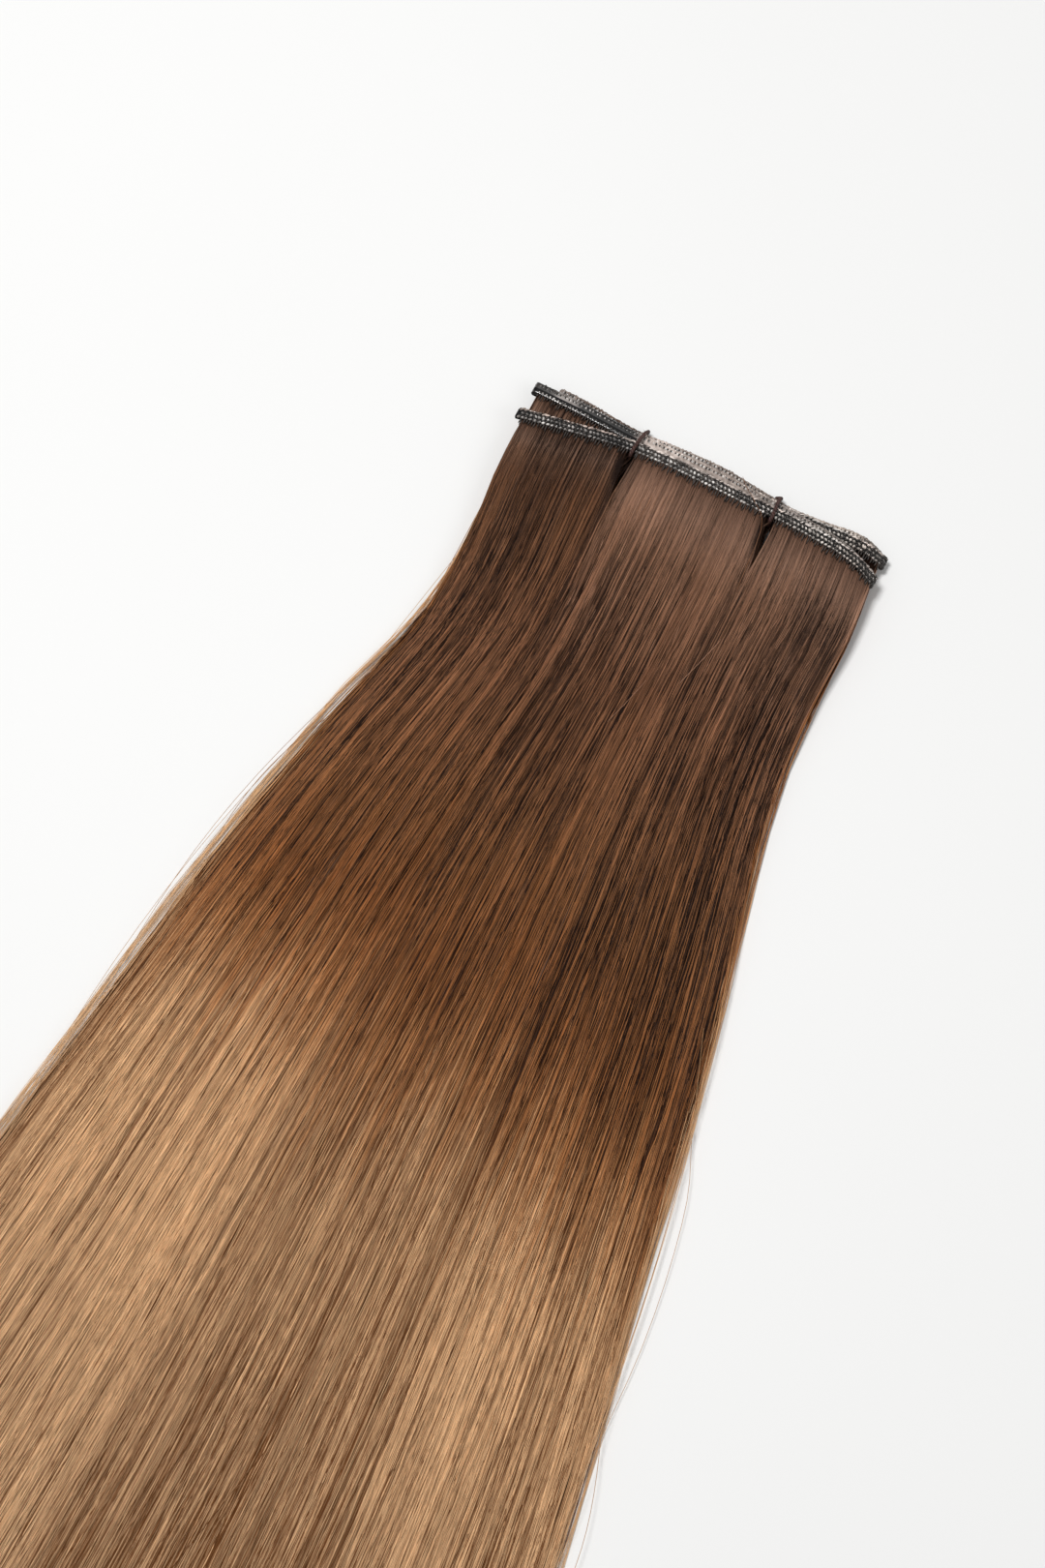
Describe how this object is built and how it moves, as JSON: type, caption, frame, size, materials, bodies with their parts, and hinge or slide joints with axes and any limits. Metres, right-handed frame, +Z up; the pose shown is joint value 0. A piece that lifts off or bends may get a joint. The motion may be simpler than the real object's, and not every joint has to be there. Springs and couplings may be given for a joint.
{
  "type": "hair weft",
  "caption": "Long straight hair weft lying flat: a stitched band folded into stacked runs, thread ties round the stack, and curtains of brown hair that fade to blonde at the tips",
  "frame": {"origin": "middle of the underside of the lowest run of the folded band", "axes": "+X along the band, +Y from the hair tips towards the band, +Z up from the surface that the weft lies on"},
  "size_m": [0.223, 0.5101, 0.0093],
  "materials": {
    "band": "glossy coated stitching",
    "hair": "satin hair, brown roots fading to blonde",
    "tie": "matt twisted thread"
  },
  "bodies": {
    "root": {"weft_band": "band", "hair_run_a": "hair", "hair_run_b": "hair", "hair_run_c": "hair", "hair_run_d": "hair", "tie_left": "tie", "tie_right": "tie"}
  },
  "joints": []
}
